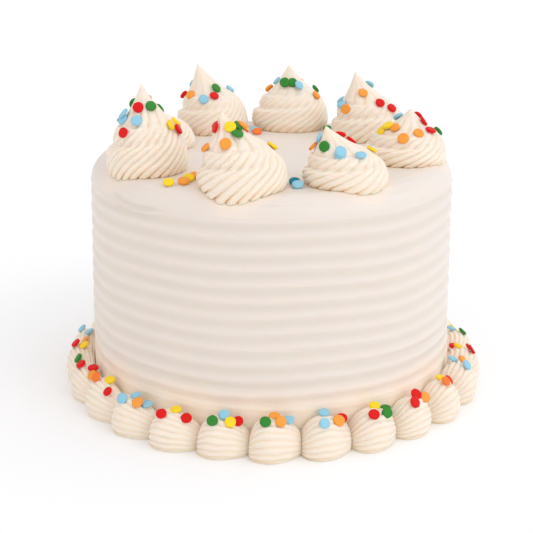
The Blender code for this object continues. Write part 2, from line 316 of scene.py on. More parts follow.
# The icing's shine, the strength of its fine relief, and how far red, green and blue light go into it.
ICING_ROUGHNESS = 0.34
ICING_ROUGHNESS_SPREAD = 0.14
ICING_BUMP = 0.6
ICING_GLOSS = 0.35
ICING_DEPTH = 1.3 * MM
ICING_DEPTH_SHARE = 0.6
ICING_DEPTH_COLOURS = (1.0, 0.62, 0.38)

# The sprinkles' finish.
DUST_COLOUR = (1.0, 0.97, 0.92, 1.0)
DUST_SHARE = 0.01
DUST_SCALE = 900.0
SUGAR_SCALE = 2600.0
SUGAR_BUMP = 0.35
SUGAR_HEIGHT = 0.06 * MM
SUGAR_ROUGHNESS = 0.42
SUGAR_GLOSS = 0.14

# The light: where the key comes from, its colour, and the tones of the far side and the key's side.
KEY_BEARING = math.radians(52.0)
KEY_RISE = math.radians(40.0)
KEY_COLOUR = (0.97, 1.0, 1.06)
FAR_TINT = (1.0, 0.93, 0.90, 1.0)
NEAR_TINT = (1.0, 1.03, 1.065, 1.0)

# The floor, and the camera: it looks down by its tilt in degrees, and its lens and sensor are in
# millimetres.
FLOOR_REACH = 30.0
FLOOR_ROUGHNESS = 0.9
CAMERA_PLACE = (-0.0020, -0.4989, 0.2150)
CAMERA_TILT = 18.36
CAMERA_LENS = 79.8
CAMERA_SENSOR = 36.0


class CakeSizes(bpy.types.PropertyGroup):
    """Sizes of the fine relief and of the sprinkles."""

    comb_depth: FloatProperty(
        name="Comb depth", description="From crest to groove on the side",
        default=0.6 * MM, unit="LENGTH", precision=5,
    )
    rosette_ridge: FloatProperty(
        name="Rosette ridge", description="From ridge to valley on a rosette",
        default=1.25 * MM, unit="LENGTH", precision=5,
    )
    shell_ridge: FloatProperty(
        name="Shell ridge", description="From ridge to valley on a shell",
        default=0.92 * MM, unit="LENGTH", precision=5,
    )
    sprinkle_radius: FloatProperty(
        name="Sprinkle radius", description="Half the width of a sprinkle",
        default=2.3 * MM, unit="LENGTH", precision=5,
    )
    sprinkle_thickness: FloatProperty(
        name="Sprinkle thickness", description="How thick a sprinkle is",
        default=1.3 * MM, unit="LENGTH", precision=5,
    )
    side_steps: IntProperty(
        name="Steps round", description="Faces round the cake's side", default=360, min=24,
    )


class IcingLook(bpy.types.PropertyGroup):
    """Colours of the icing and of the sprinkles."""

    combed: FloatVectorProperty(
        name="Combed icing", description="The icing of the cake's body", subtype="COLOR",
        default=(0.825, 0.742, 0.672), min=0.0, max=1.0,
    )
    piped: FloatVectorProperty(
        name="Piped icing", description="The icing of the rosettes and shells", subtype="COLOR",
        default=(0.90, 0.79, 0.675), min=0.0, max=1.0,
    )
    # Painted shade: a darker tone laid in the comb's grooves, where shade falls between the ridges.
    groove: FloatVectorProperty(
        name="Comb grooves", description="The body's icing in the comb's grooves", subtype="COLOR",
        default=(0.745, 0.665, 0.575), min=0.0, max=1.0,
    )
    # Painted warm shade in the piped icing's valleys and folds, and painted contact shadow at their
    # foot.
    crease: FloatVectorProperty(
        name="Creases", description="The piped icing's warmer tone in valleys and folds",
        subtype="COLOR", default=(0.93, 0.745, 0.50), min=0.0, max=1.0,
    )
    # Painted warm light: the light that the border and the rosettes throw on the body, laid into its
    # colour.
    painted_warmth: FloatVectorProperty(
        name="Painted Warmth", description="The body's icing where the border throws warm light on it",
        subtype="COLOR", default=(1.0, 0.82, 0.68), min=0.0, max=1.0,
    )
    # Painted warm shade in the small gaps between ridges at the foot of piped icing.
    notch_shade: FloatVectorProperty(
        name="Notches", description="The small gaps between ridges at the foot of piped icing",
        subtype="COLOR", default=(0.95, 0.56, 0.20), min=0.0, max=1.0,
    )
    red: FloatVectorProperty(
        name="Red", description="Red sprinkles", subtype="COLOR",
        default=(0.74, 0.005, 0.005), min=0.0, max=1.0,
    )
    orange: FloatVectorProperty(
        name="Orange", description="Orange sprinkles", subtype="COLOR",
        default=(0.94, 0.35, 0.05), min=0.0, max=1.0,
    )
    yellow: FloatVectorProperty(
        name="Yellow", description="Yellow sprinkles", subtype="COLOR",
        default=(0.97, 0.68, 0.02), min=0.0, max=1.0,
    )
    green: FloatVectorProperty(
        name="Green", description="Green sprinkles", subtype="COLOR",
        default=(0.035, 0.24, 0.03), min=0.0, max=1.0,
    )
    light_blue: FloatVectorProperty(
        name="Light blue", description="Light blue sprinkles", subtype="COLOR",
        default=(0.30, 0.60, 0.74), min=0.0, max=1.0,
    )
    teal: FloatVectorProperty(
        name="Teal", description="Teal sprinkles", subtype="COLOR",
        default=(0.008, 0.21, 0.29), min=0.0, max=1.0,
    )
    deep_orange: FloatVectorProperty(
        name="Deep orange", description="The deeper orange sprinkles", subtype="COLOR",
        default=(0.93, 0.20, 0.03), min=0.0, max=1.0,
    )


class StudioLook(bpy.types.PropertyGroup):
    """The stage and its light."""

    key_strength: FloatProperty(
        name="Key light", description="Strength of the soft light from the right",
        default=0.24, min=0.0,
    )
    key_softness: FloatProperty(
        name="Softness", description="How wide the key light is in the sky", subtype="ANGLE",
        default=math.radians(28.0), min=0.0,
    )
    fill_near: FloatProperty(
        name="Bright side", description="Strength of the light from the key's side",
        default=1.16, min=0.0,
    )
    fill_far: FloatProperty(
        name="Dim side", description="Strength of the light from the far side",
        default=0.575, min=0.0,
    )
    floor: FloatVectorProperty(
        name="Floor", description="The plain pale floor", subtype="COLOR",
        default=(0.985, 0.985, 0.985), min=0.0, max=1.0,
    )


def direction(bearing):
    """The level unit vector at a bearing."""
    return Vector((math.sin(bearing), -math.cos(bearing), 0.0))


def polar(radius, bearing, height):
    """Points from their distance to the axis, bearing and height, as an array of rows."""
    radius, bearing, height = np.broadcast_arrays(radius, bearing, height)
    return np.stack([radius * np.sin(bearing), -radius * np.cos(bearing), height], axis=-1)


def round_steps(count):
    """Angles round a closed loop."""
    return (TURN * np.arange(count) / count)[None, :]


def nearest_turn(angle):
    """The same angle, between half a turn back and half a turn on."""
    return (angle + math.pi) % TURN - math.pi


def ripple(seed, around, along):
    """A slow unevenness between about -1 and 1: a few waves with seeded lengths and phases."""
    draw = random.Random(seed)
    total = 0.0
    for _ in range(RIPPLE_WAVES):
        turns = draw.randint(*RIPPLE_TURNS)
        climb = draw.uniform(*RIPPLE_CLIMBS)
        total = total + np.sin(turns * around + climb * along + draw.uniform(*PHASES))
    return total / math.sqrt(RIPPLE_WAVES)


def ridge_wave(count, around, narrow=RIDGE_NARROW):
    """Round ridges with narrow valleys between them, from -1 in a valley to 1 on a ridge."""
    return 1.0 - 2.0 * (1.0 - np.abs(np.cos(0.5 * count * around))) ** narrow


def skin(name, points, first, last, valley, painted_warmth):
    """A smooth piece from rows of points, closed round, with an end point below and above.

    valley holds the share of painted shade at each point: in valleys and comb grooves, in the
    spatula's hollow and, as painted contact shadow, at the foot of piped icing. The second attribute
    holds the share of painted warm light that the border and the rosettes throw on the body, and on
    piped icing the share of painted warm shade in the notches at its foot. Both are painted into the
    icing's colour.
    """
    rows, count, _ = points.shape
    places = points.reshape(-1, 3)
    lower = np.arange((rows - 1) * count)
    after = lower - lower % count + (lower + 1) % count
    faces = np.stack([lower, after, after + count, lower + count], axis=1).tolist()
    for end, base, turned in ((first, 0, True), (last, (rows - 1) * count, False)):
        places = np.vstack([places, np.asarray(end)])
        here = base + np.arange(count)
        there = base + (np.arange(count) + 1) % count
        if turned:
            here, there = there, here
        tip = np.full(count, len(places) - 1)
        faces += np.stack([here, there, tip], axis=1).tolist()
    mesh = bpy.data.meshes.new(name)
    mesh.from_pydata(places.tolist(), [], faces)
    mesh.validate()
    for label, shares in (("valley", valley), ("painted_warmth", painted_warmth)):
        spread = np.append(np.broadcast_to(shares, (rows, count)).ravel(), (0.0, 0.0))
        store = mesh.attributes.new(label, "FLOAT", "POINT")
        store.data.foreach_set("value", spread.astype(np.float32))
    mesh.shade_smooth()
    piece = bpy.data.objects.new(name, mesh)
    bpy.context.scene.collection.objects.link(piece)
    return piece


def stand_for(piece, node, finish):
    """Puts a piece in the place of a solid, with its finish."""
    piece.data.materials.append(finish)
    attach(piece, "root")
    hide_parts(node)


def node_of(tree, kind, **values):
    """A shader node with its properties set."""
    made = tree.nodes.new(kind)
    for name, value in values.items():
        setattr(made, name, value)
    return made


def noise_of(tree, place, scale, detail, roughness=0.5):
    """A noise texture over the piece's own coordinates."""
    made = node_of(tree, "ShaderNodeTexNoise")
    made.inputs["Scale"].default_value = scale
    made.inputs["Detail"].default_value = detail
    made.inputs["Roughness"].default_value = roughness
    tree.links.new(place, made.inputs["Vector"])
    return made


def maths(tree, operation, first, second=None, clamp=False):
    """One sum over sockets or numbers."""
    made = node_of(tree, "ShaderNodeMath", operation=operation, use_clamp=clamp)
    for socket, value in zip(made.inputs, (first, second)):
        if value is None:
            continue
        if isinstance(value, (int, float)):
            socket.default_value = value
        else:
            tree.links.new(value, socket)
    return made.outputs[0]


def blend_colours(tree, share, first, second):
    """A mix of two colours, each a socket or a value."""
    made = node_of(tree, "ShaderNodeMix", data_type="RGBA")
    for number, value in ((0, share), (6, first), (7, second)):
        if hasattr(value, "default_value"):
            tree.links.new(value, made.inputs[number])
        else:
            made.inputs[number].default_value = value
    return made.outputs[2]


def add_sockets(tree, way, kind, labels):
    """Gives a node group sockets of one kind."""
    for label in labels:
        tree.interface.new_socket(label, in_out=way, socket_type=kind)


def icing_group():
    """The icing's surface: soft mottling, painted shade in valleys and comb grooves, painted warm
    light on the body and painted warm shade in the notches at the foot of piped icing, fine drag marks
    and small air holes.
    """
    name = "icing_surface"
    if name in bpy.data.node_groups:
        return bpy.data.node_groups[name]
    tree = bpy.data.node_groups.new(name, "ShaderNodeTree")
    add_sockets(tree, "INPUT", "NodeSocketColor", ("Icing", "Crease", "Painted Warmth"))
    add_sockets(tree, "INPUT", "NodeSocketFloat", ("Crease Share", "Mottle", "Drag", "Holes"))
    add_sockets(tree, "OUTPUT", "NodeSocketColor", ("Color",))
    add_sockets(tree, "OUTPUT", "NodeSocketFloat", ("Roughness", "Height"))
    given = node_of(tree, "NodeGroupInput")
    out = node_of(tree, "NodeGroupOutput")
    place = node_of(tree, "ShaderNodeTexCoord").outputs["Object"]
    valley = node_of(tree, "ShaderNodeAttribute", attribute_name="valley").outputs["Fac"]
    patches = noise_of(tree, place, MOTTLE_SCALE, detail=3.0).outputs["Fac"]
    tint = maths(tree, "MULTIPLY", maths(tree, "SUBTRACT", patches, 0.5), given.outputs["Mottle"])
    # Painted shade: the crease colour is mixed in by how deep a point lies in a valley.
    share = maths(tree, "MULTIPLY", valley, given.outputs["Crease Share"])
    share = maths(tree, "ADD", share, tint, clamp=True)
    toned = blend_colours(tree, share, given.outputs["Icing"], given.outputs["Crease"])
    # Painted warm light on the body and painted warm shade in the notches of piped icing, by the
    # second attribute.
    painted_warmth = node_of(tree, "ShaderNodeAttribute", attribute_name="painted_warmth").outputs["Fac"]
    tree.links.new(blend_colours(tree, painted_warmth, toned, given.outputs["Painted Warmth"]), out.inputs["Color"])
    stretched = node_of(tree, "ShaderNodeMapping")
    stretched.inputs["Scale"].default_value = DRAG_STRETCH
    tree.links.new(place, stretched.inputs["Vector"])
    upwards = stretched.outputs["Vector"]
    drag = noise_of(tree, upwards, DRAG_SCALE, detail=4.0, roughness=0.6).outputs["Fac"]
    grain = noise_of(tree, place, GRAIN_SCALE, detail=2.0).outputs["Fac"]
    cells = node_of(tree, "ShaderNodeTexVoronoi")
    cells.inputs["Scale"].default_value = HOLE_SCALE
    tree.links.new(place, cells.inputs["Vector"])
    hole = maths(tree, "SUBTRACT", HOLE_WIDTH, cells.outputs["Distance"], clamp=True)
    sunk = maths(tree, "MULTIPLY", maths(tree, "MULTIPLY", hole, HOLE_DEPTH), given.outputs["Holes"])
    marks = maths(tree, "MULTIPLY", drag, given.outputs["Drag"])
    relief = maths(tree, "ADD", marks, maths(tree, "MULTIPLY", grain, GRAIN_SHARE))
    tree.links.new(maths(tree, "SUBTRACT", relief, sunk), out.inputs["Height"])
    sheen = maths(tree, "MULTIPLY", patches, ICING_ROUGHNESS_SPREAD)
    tree.links.new(maths(tree, "ADD", sheen, ICING_ROUGHNESS), out.inputs["Roughness"])
    return tree


def icing_finish(name, colour, crease, painted_warmth, surface):
    """Icing: soft, slightly glossy and a little see-through."""
    made = bpy.data.materials.new(name)
    made.use_nodes = True
    tree = made.node_tree
    shader = tree.nodes["Principled BSDF"]
    group = node_of(tree, "ShaderNodeGroup", node_tree=icing_group())
    group.inputs["Icing"].default_value = (*colour, 1.0)
    # The crease colour is painted shade; the next colour is painted warm light on the body and painted
    # warm shade in the notches of piped icing.
    group.inputs["Crease"].default_value = (*crease, 1.0)
    group.inputs["Painted Warmth"].default_value = (*painted_warmth, 1.0)
    group.inputs["Crease Share"].default_value = surface.crease_share
    group.inputs["Mottle"].default_value = surface.mottle
    group.inputs["Drag"].default_value = surface.drag
    group.inputs["Holes"].default_value = surface.holes
    bump = node_of(tree, "ShaderNodeBump")
    bump.inputs["Strength"].default_value = ICING_BUMP
    bump.inputs["Distance"].default_value = surface.height
    tree.links.new(group.outputs["Height"], bump.inputs["Height"])
    tree.links.new(group.outputs["Color"], shader.inputs["Base Color"])
    tree.links.new(group.outputs["Roughness"], shader.inputs["Roughness"])
    tree.links.new(bump.outputs["Normal"], shader.inputs["Normal"])
    shader.inputs["Subsurface Weight"].default_value = ICING_DEPTH_SHARE
    shader.inputs["Subsurface Radius"].default_value = ICING_DEPTH_COLOURS
    shader.inputs["Subsurface Scale"].default_value = ICING_DEPTH
    shader.inputs["Specular IOR Level"].default_value = ICING_GLOSS
    return made


def sprinkle_group():
    """A pressed sugar surface: a paler dusting in patches and a fine grain."""
    name = "pressed_sugar"
    if name in bpy.data.node_groups:
        return bpy.data.node_groups[name]
    tree = bpy.data.node_groups.new(name, "ShaderNodeTree")
    tree.interface.new_socket("Sugar", in_out="INPUT", socket_type="NodeSocketColor")
    dust_in = tree.interface.new_socket("Dust", in_out="INPUT", socket_type="NodeSocketFloat")
    dust_in.default_value = DUST_SHARE
    tree.interface.new_socket("Color", in_out="OUTPUT", socket_type="NodeSocketColor")
    tree.interface.new_socket("Height", in_out="OUTPUT", socket_type="NodeSocketFloat")
    given = node_of(tree, "NodeGroupInput")
    out = node_of(tree, "NodeGroupOutput")
    place = node_of(tree, "ShaderNodeTexCoord").outputs["Object"]
    patches = noise_of(tree, place, DUST_SCALE, detail=3.0).outputs["Fac"]
    share = maths(tree, "MULTIPLY", patches, given.outputs["Dust"], clamp=True)
    dusted = blend_colours(tree, share, given.outputs["Sugar"], DUST_COLOUR)
    tree.links.new(dusted, out.inputs["Color"])
    grain = noise_of(tree, place, SUGAR_SCALE, detail=2.0).outputs["Fac"]
    tree.links.new(grain, out.inputs["Height"])
    return tree


def sprinkle_finish(name, colour):
    """One colour of pressed sugar, satin."""
    made = bpy.data.materials.new(name)
    made.use_nodes = True
    tree = made.node_tree
    shader = tree.nodes["Principled BSDF"]
    group = node_of(tree, "ShaderNodeGroup", node_tree=sprinkle_group())
    group.inputs["Sugar"].default_value = (*colour, 1.0)
    bump = node_of(tree, "ShaderNodeBump")
    bump.inputs["Strength"].default_value = SUGAR_BUMP
    bump.inputs["Distance"].default_value = SUGAR_HEIGHT
    tree.links.new(group.outputs["Height"], bump.inputs["Height"])
    tree.links.new(group.outputs["Color"], shader.inputs["Base Color"])
    tree.links.new(bump.outputs["Normal"], shader.inputs["Normal"])
    shader.inputs["Roughness"].default_value = SUGAR_ROUGHNESS
    shader.inputs["Specular IOR Level"].default_value = SUGAR_GLOSS
    return made


def side_radius(height, bearing):
    """The cake's radius without its ridges: a slight taper, and the hand's unevenness.

    The unevenness goes round in two waves and, as a smaller share, in five that turn on the way up.
    """
    taper = FOOT_RADIUS + (TOP_RADIUS - FOOT_RADIUS) * height / CAKE_HEIGHT
    swell = np.sin(2.0 * bearing + UNEVEN_PHASE)
    swell = swell + UNEVEN_SECOND * np.sin(5.0 * bearing + height / UNEVEN_RISE)
    return taper + UNEVEN * swell


def comb_sway(bearing):
    """How far the ridges ride up or down on their way round, in three and in seven waves."""
    return COMB_SWAY * (np.sin(3.0 * bearing + 1.0) + np.sin(7.0 * bearing))


def top_height(x, y):
    """The height of the cake's top at a place, round over the shoulder."""
    edge = side_radius(CAKE_HEIGHT, np.arctan2(x, -y))
    over = np.maximum(0.0, np.hypot(x, y) - (edge - SHOULDER))
    return CAKE_HEIGHT - SHOULDER + np.sqrt(np.maximum(0.0, SHOULDER**2 - over**2))


def swipe(bearing, height):
    """The mark of a spatula on the left shoulder: a thin lip with a hollow over it."""
    past = nearest_turn(bearing) - SWIPE_BEARING
    along = np.clip((past + SWIPE_BEFORE) / SWIPE_FADE, 0.0, 1.0)
    along = along * np.clip((SWIPE_AFTER - past) / SWIPE_FADE, 0.0, 1.0)
    above = height - SWIPE_LOWEST - SWIPE_CURVE * past**2
    lip = SWIPE_LIP * np.exp(-((above / SWIPE_WIDTH) ** 2))
    further = (above - SWIPE_HOLLOW_UP * SWIPE_WIDTH) / (SWIPE_HOLLOW_WIDTH * SWIPE_WIDTH)
    hollow = SWIPE_HOLLOW * SWIPE_LIP * np.exp(-(further**2))
    return along * (lip - hollow)


def cake_points(sizes):
    """The cake's skin, from its foot over the combed side and the shoulder to the middle."""
    bearing = round_steps(sizes.side_steps)
    height = np.linspace(0.0, CAKE_HEIGHT - SHOULDER, SIDE_ROWS)[:, None]
    rise = height / CAKE_HEIGHT
    phase = (height - COMB_LOWEST - comb_sway(bearing)) / COMB_PITCH
    phase = phase + COMB_DRIFT * ripple(BODY_SEED, bearing, rise)
    wave = np.where(phase < 0.0, 1.0, np.cos(TURN * phase))
    fade = np.clip((COMB_HIGHEST + COMB_FADE_PAST - height) / COMB_FADE, 0.0, 1.0)
    depth = sizes.comb_depth * (1.0 + COMB_SPREAD * ripple(BODY_SEED + 1, bearing, 3.0 * rise))
    drag = DRAG_LONG * ripple(BODY_SEED + 2, 6.0 * bearing, 9.0 * rise)
    drag = drag + DRAG_FINE * ripple(BODY_SEED + 5, bearing, 32.0 * rise)
    radius = side_radius(height, bearing) + 0.5 * depth * wave * fade + drag
    rows = [polar(radius + swipe(bearing, height), bearing, height)]
    lean = np.linspace(0.0, 0.5 * math.pi, SHOULDER_ROWS)[1:, None]
    marks = SHOULDER_MARKS * ripple(BODY_SEED + 3, bearing, 5.0 * lean) * np.sin(lean)
    height = CAKE_HEIGHT - SHOULDER * (1.0 - np.sin(lean))
    radius = side_radius(CAKE_HEIGHT, bearing) - SHOULDER * (1.0 - np.cos(lean)) + marks
    rows.append(polar(radius + swipe(bearing, height), bearing, height + marks))
    share = np.linspace(1.0, 0.0, TOP_ROWS)[1:-1, None]
    radius = (side_radius(CAKE_HEIGHT, bearing) - SHOULDER) * share
    marks = TOP_MARKS * ripple(BODY_SEED + 4, bearing, 2.0 * share) * share * (1.0 - share**8)
    rows.append(polar(radius, bearing, CAKE_HEIGHT + marks))
    points = np.concatenate(rows)
    # Painted shade: the comb's grooves and the spatula's hollow take a darker tone.
    valley = np.zeros(points.shape[:2])
    valley[:SIDE_ROWS] = 0.5 - 0.5 * wave * fade
    # Painted warm light thrown by the border low on the side and by each rosette on the top beside its
    # foot.
    painted_warmth = np.clip((GLOW_TOP - points[:, :, 2]) / GLOW_REACH, 0.0, 1.0) ** GLOW_POWER
    for rosette in ROSETTES:
        centre = rosette_centre(rosette)
        off = np.hypot(points[:, :, 0] - centre.x, points[:, :, 1] - centre.y)
        beside = np.exp(-(((off - FOOT_SHARE * rosette.width * MM) / FOOT_GLOW) ** 2))
        painted_warmth = np.maximum(painted_warmth, FOOT_SHINE * beside * (points[:, :, 2] > COMB_HIGHEST))
    hollow = np.maximum(0.0, -swipe(bearing, points[:, :, 2])) / SWIPE_LIP
    return points, valley + SWIPE_SHADE * hollow, painted_warmth


def coil_creases(facing, rise):
    """The depth of the crease between one coil and the next, and how far the upper one stands in."""
    facing = nearest_turn(facing)
    depth = 0.5 + 0.5 * np.cos(facing)
    groove = 0.0
    step = 0.0
    for coil, share in enumerate(COIL_SHARES):
        level = CREASE_RISE + CREASE_CLIMB * (coil + facing / TURN)
        past = (rise - level) / CREASE_WIDTH
        groove = groove + share * depth * CREASE_DEPTH * np.exp(-(past**2))
        step = step + share * depth * COIL_STEP / (1.0 + np.exp(-2.0 * past))
    return groove, step


def rosette_centre(rosette):
    """Where a rosette stands, on the level of the cake's top."""
    return direction(math.radians(rosette.bearing)) * rosette.distance * MM


def rosette_points(rosette, turn, rise, wave, ridge):
    """Points of a rosette's skin; turn goes round its own axis and rise from foot to peak."""
    lift = 0.5 * math.pi * rise
    out = np.maximum(0.0, np.cos(lift)) ** DOME_ROUND_OUT
    peak = (1.0 - DOME_HEIGHT) * np.maximum(0.0, 1.0 - out / PEAK_SPREAD) ** PEAK_POWER
    up = DOME_HEIGHT * np.sin(lift) ** DOME_ROUND_UP + peak
    groove, step = coil_creases(turn - math.radians(rosette.crease), rise)
    smooth = PEAK_SMOOTH + PEAK_SMOOTHER * max(0.0, CRISPEST - rosette.crisp)
    shown = out**RIDGE_FADE * np.clip((out - smooth) / PEAK_REACH, 0.0, 1.0)
    relief = 0.5 * ridge * wave * shown - groove
    tuck = np.maximum(0.0, 1.0 - rise / TUCK_RISE) ** 2
    swell = 1.0 + SWELL_ONCE * np.sin(turn + rosette.seed)
    swell = swell + SWELL_THRICE * np.sin(3.0 * turn + 2.0 * rosette.seed)
    body = 0.5 * rosette.width * MM * out * (1.0 - step) * (1.0 - FOOT_TUCK * tuck) * swell
    radius = np.maximum(0.0, body + relief * np.cos(lift))
    centre = rosette_centre(rosette)
    x = centre.x + radius * np.sin(turn) + rosette.lean_x * (1.0 - out) * MM
    y = centre.y - radius * np.cos(turn) + rosette.lean_y * (1.0 - out) * MM
    drop = np.minimum(MOST_DROP, CAKE_HEIGHT - top_height(x, y))
    z = CAKE_HEIGHT - drop * np.maximum(0.0, 1.0 - rise / DROP_RISE) ** 2
    z = z + np.maximum(0.0, rosette.height * MM * up + relief * np.sin(lift))
    return np.stack(np.broadcast_arrays(x, y, z), axis=-1)


def shell_sizes():
    """Each shell's own length, width and height, as shares of the usual ones."""
    draw = random.Random(SHELL_SEED)
    return [(draw.uniform(*SHELL_LENGTHS), draw.uniform(*SHELL_WIDTHS), draw.uniform(*SHELL_HEIGHTS))
            for _ in range(SHELL_COUNT)]


def shell_bearing(number):
    """The bearing of a shell's middle."""
    return SHELL_FIRST + TURN * number / SHELL_COUNT


def shell_shares(along):
    """How wide and how tall a shell is along its length, as shares of its fattest part.

    It rises from the floor where it was begun, and it tapers to its tail.
    """
    start = along < SHELL_FATTEST
    power = np.where(start, SHELL_START_POWER, SHELL_TAIL_POWER)
    past = (along - SHELL_FATTEST) / np.where(start, -1.0 - SHELL_FATTEST, 1.0 - SHELL_FATTEST)
    bead = np.maximum(0.0, 1.0 - past**power) ** (1.0 / power)
    closing = np.sqrt(np.maximum(0.0, 1.0 - along**SHELL_CLOSE))
    least = np.where(start, SHELL_LEAST, SHELL_TAIL_WIDE)
    wide = least * closing + (1.0 - least) * bead
    tapering = SHELL_TAIL_TALL * closing + (1.0 - SHELL_TAIL_TALL) * bead
    rising = np.maximum(0.0, 1.0 - past**SHELL_RISE_POWER) ** (1.0 / SHELL_RISE_POWER)
    return wide, np.where(start, rising, tapering)


def shell_points(number, shares, along, around, wave, ridge):
    """Points of a shell's skin, from its fat start to its tail and round its middle line."""
    length, width, height = shares
    wide, tall = shell_shares(along)
    relief = 0.5 * ridge * wave
    out = SHELL_CENTRE_OUT + (SHELL_HALF_WIDTH + relief) * np.cos(around)
    up = SHELL_CENTRE_UP + (SHELL_HALF_HEIGHT + relief) * np.sin(around)
    bearing = shell_bearing(number) + along * length * math.pi / SHELL_COUNT
    thin = 1.0 + SHELL_THINNER_LEFT * np.minimum(0.0, np.sin(bearing))
    radius = SHELL_INNER + np.maximum(0.0, out * wide * width * thin)
    return polar(radius, bearing, np.maximum(0.0, up * tall * height))


def lean_over(normal, draw, most):
    """The way a sprinkle faces: its seat's normal, tipped a little."""
    tipped = Vector([draw.uniform(-most, most) for _ in range(3)])
    return (normal + tipped).normalized()


def rosette_facing(rosette, turn, rise):
    """The way a rosette's skin faces, without its ridges."""
    above = rosette_points(rosette, turn, rise + SLOPE_STEP, 0.0, 0.0)
    below = rosette_points(rosette, turn, rise - SLOPE_STEP, 0.0, 0.0)
    return direction(turn + 0.5 * math.pi).cross(Vector(above - below)).normalized()


def rosette_seats(rosette, ridge):
    """Where sprinkles lie on a rosette: anywhere round it, above its lower coil."""
    draw = random.Random(rosette.seed)
    seats = []
    for i in range(rosette.sprinkles + rosette.extra):
        turn = TURN * (i * GOLDEN_TURN + draw.uniform(-TURN_DRAW, TURN_DRAW))
        rise = draw.uniform(*ROSETTE_SEATS)
        facing = lean_over(rosette_facing(rosette, turn, rise), draw, ROSETTE_LEAN)
        place = Vector(rosette_points(rosette, turn, rise, 1.0, ridge))
        seats.append((place, facing, rosette.colours[i % len(rosette.colours)]))
    return seats


def shell_seats(number, shares, draw, ridge):
    """Where sprinkles lie on a shell: over its top, clear of the cake, dipping at their outer edge."""
    seats = []
    at_front = math.cos(shell_bearing(number)) > FRONT_SHARE
    count = draw.choice(SHELL_FRONT_COUNTS if at_front else SHELL_BACK_COUNTS)
    for i in range(count):
        along = SHELL_SEATS_ALONG * (2.0 * (i + draw.uniform(*SHELL_SEAT_DRAW)) / count - 1.0)
        around = math.radians(draw.uniform(*SHELL_SEATS_AROUND[i % 2]))
        up = around - SHELL_FACE_OUT
        normal = direction(shell_bearing(number)) * math.cos(up) + Vector((0, 0, math.sin(up)))
        facing = lean_over(normal, draw, SHELL_LEAN)
        place = Vector(shell_points(number, shares, along, around, 1.0, ridge))
        colour = SHELL_COLOURS[(3 * number + 5 * i) % len(SHELL_COLOURS)]
        seats.append((place, facing, colour))
    return seats


def top_seats():
    """Where sprinkles lie on the cake's top: between one rosette and the next, towards the front."""
    draw = random.Random(TOP_SEED)
    sprinkle_radius = bpy.context.scene.cake_sizes.sprinkle_radius
    seats = []
    for i, count in enumerate(TOP_SPRINKLES):
        here = ROSETTES[i]
        after = ROSETTES[(i + 1) % len(ROSETTES)]
        across = rosette_centre(after) - rosette_centre(here)
        middle = (rosette_centre(after) + rosette_centre(here)) * 0.5
        kept = 0.5 * max(here.width, after.width) * MM + sprinkle_radius + TOP_CLEAR
        free = max(0.0, 0.5 * across.length - kept)
        start = math.sqrt(max(0.0, kept**2 - 0.25 * across.length_squared))
        away = Vector((across.y, -across.x, 0.0)).normalized()
        if away.y > 0.0:
            away.negate()
        for j in range(count):
            aside = across.normalized() * free * draw.uniform(-1.0, 1.0)
            place = middle + aside + away * (start + TOP_SPACING * j)
            place.z = CAKE_HEIGHT
            colour = TOP_COLOURS[len(seats) % len(TOP_COLOURS)]
            seats.append((place, lean_over(Vector((0, -TOP_TIP, 1)), draw, TOP_LEAN), colour))
    return seats


def sprinkle_mesh(heap, place, facing, seed):
    """Adds one sprinkle to a heap of points and faces: a flat disc with a round edge."""
    sizes = bpy.context.scene.cake_sizes
    draw = random.Random(seed)
    radius = sizes.sprinkle_radius * draw.uniform(*SPRINKLE_WIDTHS)
    half = 0.5 * sizes.sprinkle_thickness * draw.uniform(*SPRINKLE_THICKNESSES)
    squeeze = draw.uniform(*SPRINKLE_SQUEEZES)
    spin = draw.uniform(*PHASES)
    steps = SPRINKLE_STEPS
    turned = facing.to_track_quat("Z", "Y").to_matrix()
    profile = [(out, -up) for out, up in reversed(SPRINKLE_RIM[1:])] + SPRINKLE_RIM
    points, faces = heap
    base = len(points)
    for out, up in profile:
        for i in range(steps):
            angle = TURN * i / steps
            reach = out * radius
            for times, (waves, share) in enumerate(SPRINKLE_WAVES, 1):
                reach += out * radius * share * math.sin(waves * angle + times * spin)
            flat = Vector((math.cos(angle) * reach, math.sin(angle) * reach * squeeze, up * half))
            points.append(place + turned @ flat)
    for row in range(len(profile) - 1):
        for i in range(steps):
            j = (i + 1) % steps
            low = base + row * steps
            faces.append((low + i, low + j, low + steps + j, low + steps + i))
    faces.append(tuple(base + i for i in reversed(range(steps))))
    faces.append(tuple(base + (len(profile) - 1) * steps + i for i in range(steps)))


def kept_within(place, facing, sizes):
    """A sprinkle's place, moved in where its rim would stand out past the solids."""
    place = place.copy()
    for axis in (0, 1):
        across = sizes.sprinkle_radius * math.sqrt(max(0.0, 1.0 - facing[axis]**2))
        reach = SPRINKLE_LARGEST * (across + 0.5 * sizes.sprinkle_thickness * abs(facing[axis]))
        place[axis] = min(max(place[axis], CAD_BOX[0][axis] + reach), CAD_BOX[1][axis] - reach)
    return place


class CAKE_OT_body(bpy.types.Operator):
    """Makes the cake's body with its combed side, smooth shoulder and top."""

    bl_idname = "cake.body"
    bl_label = "Cake body"

    def execute(self, context):
        look = context.scene.cake_look
        points, valley, painted_warmth = cake_points(context.scene.cake_sizes)
        piece = skin("cake_icing", points, (0.0, 0.0, 0.0), (0.0, 0.0, CAKE_HEIGHT), valley, painted_warmth)
        # The groove colour is painted shade in the comb's grooves; the warm colour is painted light
        # from the border and the rosettes.
        finish = icing_finish("combed_icing", look.combed, look.groove, look.painted_warmth, COMBED_SURFACE)
        stand_for(piece, "cake", finish)
        return {"FINISHED"}


